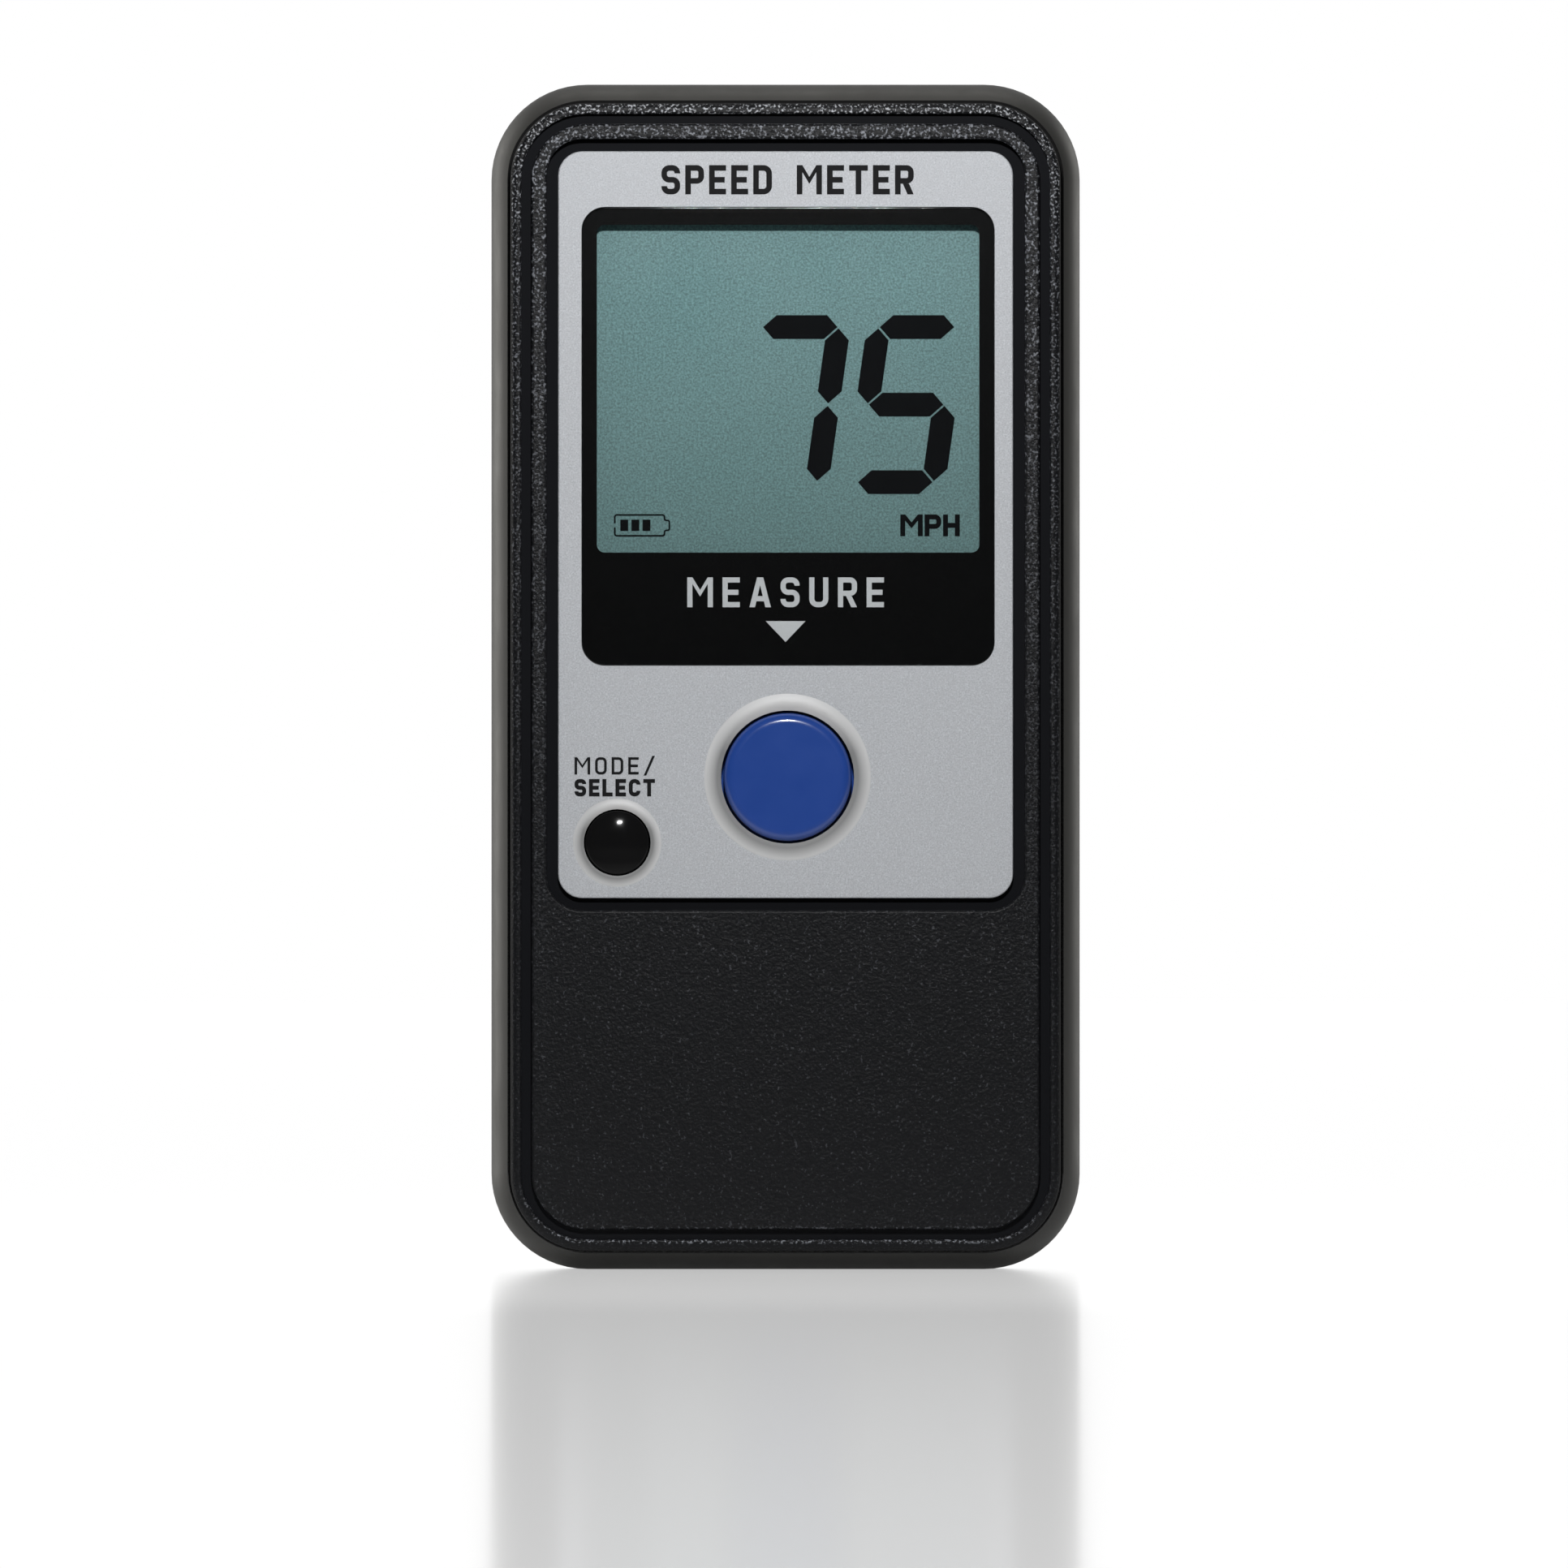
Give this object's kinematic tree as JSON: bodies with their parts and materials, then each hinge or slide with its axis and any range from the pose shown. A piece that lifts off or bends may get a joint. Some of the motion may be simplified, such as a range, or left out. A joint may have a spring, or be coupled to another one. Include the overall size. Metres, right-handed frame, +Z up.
{
  "type": "hand-held speed radar",
  "caption": "Flat hand-held speed radar with a liquid crystal display, a large measure key and a small mode key on the front and a battery door at the rear.",
  "frame": {"origin": "middle of the flat bottom end on which the upright case stands, centred in width and depth", "axes": "+Z up along the case, +X to the right of the display seen from in front, +Y from the display towards the rear; the display faces -Y and the radar looks along +Y"},
  "size_m": [0.0594, 0.0204, 0.1194],
  "materials": {
    "casing": "fine spark texture, smooth on the rounded edge",
    "cover": "fine spark texture",
    "silver_print": "satin metallic print",
    "adhesive": "tacky film",
    "clear_window": "clear hard-coated sheet",
    "black_print": "gloss",
    "blue_key": "gloss",
    "black_key": "gloss",
    "switch_body": "matt",
    "switch_metal": "satin",
    "switch_stem": "matt",
    "polarizer": "satin film",
    "lcd_glass": "clear",
    "lcd_back": "brushed reflective film",
    "lcd_frame": "matt",
    "soft_black": "matt",
    "elastomer": "striped",
    "board": "solder mask",
    "chip": "moulded",
    "tinned": "tinned",
    "capacitor": "matt with tinned ends",
    "ferrite": "matt",
    "can_steel": "satin",
    "connector": "matt",
    "gold": "plated",
    "cell": "plated",
    "jacket": "shrink film",
    "spring_steel": "plated",
    "screw_steel": "black oxide",
    "label": "satin film"
  },
  "bodies": {
    "case": {"rear_shell": "casing", "front_cover": "cover", "fascia_plate": "silver_print", "fascia_adhesive": "adhesive", "display_lens": "clear_window", "display_mask": "black_print", "lens_adhesive": "adhesive", "measure_switch_base": "switch_body", "measure_switch_cover": "switch_metal", "measure_switch_dome": "switch_metal", "mode_switch_base": "switch_body", "mode_switch_cover": "switch_metal", "mode_switch_dome": "switch_metal", "lcd_front_polarizer": "polarizer", "lcd_front_glass": "lcd_glass", "lcd_rear_glass": "lcd_glass", "lcd_reflector": "lcd_back", "lcd_frame": "lcd_frame", "lcd_gasket": "soft_black", "zebra_strip_upper": "elastomer", "zebra_strip_lower": "elastomer", "main_board": "board", "processor_chip": "chip", "processor_leads": "tinned", "board_capacitors": "capacitor", "power_inductor": "ferrite", "crystal_can": "can_steel", "board_socket": "connector", "antenna_header": "connector", "header_pins": "gold", "antenna_board": "board", "antenna_patches": "gold", "rf_shield": "can_steel", "radar_chip": "chip", "battery_left_can": "cell", "battery_left_jacket": "jacket", "battery_right_can": "cell", "battery_right_jacket": "jacket", "bridge_contact": "spring_steel", "positive_terminal": "spring_steel", "negative_terminal": "spring_steel", "bridge_spring": "spring_steel", "negative_spring": "spring_steel", "housing_screws": "screw_steel", "board_screws": "screw_steel", "antenna_screws": "screw_steel", "rear_label": "label"},
    "measure_key": {"measure_button": "blue_key", "measure_switch_stem": "switch_stem"},
    "mode_key": {"mode_button": "black_key", "mode_switch_stem": "switch_stem"},
    "door": {"battery_door": "casing"}
  },
  "joints": [
    {"name": "measure_key_press", "type": "slide", "parent": "case", "child": "measure_key", "axis": [0, 1, 0], "range_m": [0, 0.0003], "stiffness_N_per_m": 2500},
    {"name": "mode_key_press", "type": "slide", "parent": "case", "child": "mode_key", "axis": [0, 1, 0], "range_m": [0, 0.0003], "stiffness_N_per_m": 2500},
    {"name": "battery_door_hinge", "type": "hinge", "parent": "case", "child": "door", "pos_m": [0, 0.01015, 0.0084], "axis": [-1, 0, 0], "range_deg": [0, 60]}
  ]
}
